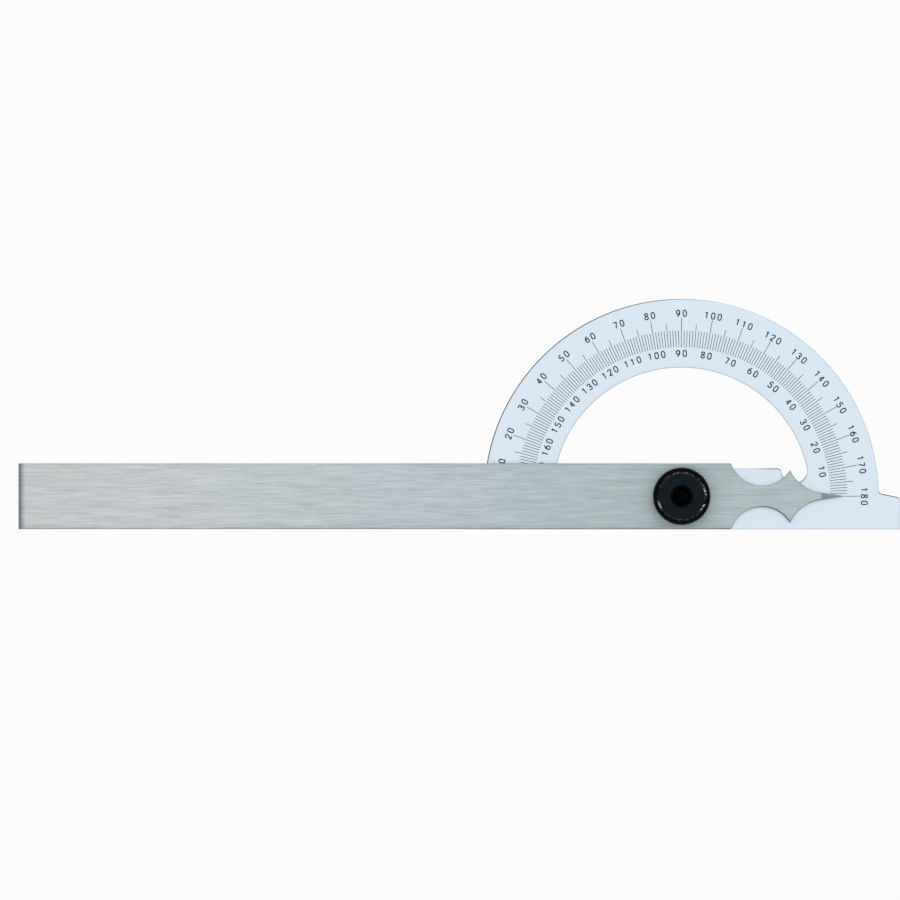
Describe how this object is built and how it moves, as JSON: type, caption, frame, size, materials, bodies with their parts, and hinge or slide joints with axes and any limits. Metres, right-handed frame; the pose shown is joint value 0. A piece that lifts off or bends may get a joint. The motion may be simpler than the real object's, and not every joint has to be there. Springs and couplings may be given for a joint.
{
  "type": "protractor",
  "caption": "Flat steel protractor: a half-round degree scale with a long pointed rule that swings on a stud and is locked by a knurled nut.",
  "frame": {"origin": "centre of the degree scale, on the stud's axis, at the flat back of the scale plate", "axes": "+X along the base bar towards the pointer as stored, +Y towards the top of the arc, +Z out of the marked face, along the stud"},
  "size_m": [0.2679, 0.0701, 0.0117],
  "materials": {
    "plate": "satin chrome on steel",
    "rule": "brushed lengthwise",
    "stud": "black oxide on turned steel, ground bright where it is flush in the plate's back",
    "spring": "tempered strip",
    "washer": "bright zinc",
    "nut": "black oxide on knurled steel",
    "marks": "dark enamel that fills the degree lines and numbers"
  },
  "bodies": {
    "scale": {"scale_plate": "plate", "pivot_stud": "stud", "disc_spring": "spring"},
    "rule": {"rule": "rule"},
    "washer": {"thrust_washer": "washer"},
    "nut": {"clamp_nut": "nut"}
  },
  "joints": [
    {"name": "rule_swing", "type": "hinge", "parent": "scale", "child": "rule", "pos_m": [0, 0, 0], "axis": [0, 0, 1], "continuous": true},
    {"name": "washer_lift", "type": "slide", "parent": "scale", "child": "washer", "axis": [0, 0, 1], "range_m": [0, 0.0008001], "deforming": ["disc_spring"]},
    {"name": "nut_turn", "type": "hinge", "parent": "washer", "child": "nut", "pos_m": [0, 0, 0], "axis": [0, 0, 1], "range_deg": [0, 360]}
  ],
  "couplings": [
    {"joint": "washer_lift", "follows": "nut_turn", "m_per_rad": 0.00012732}
  ]
}
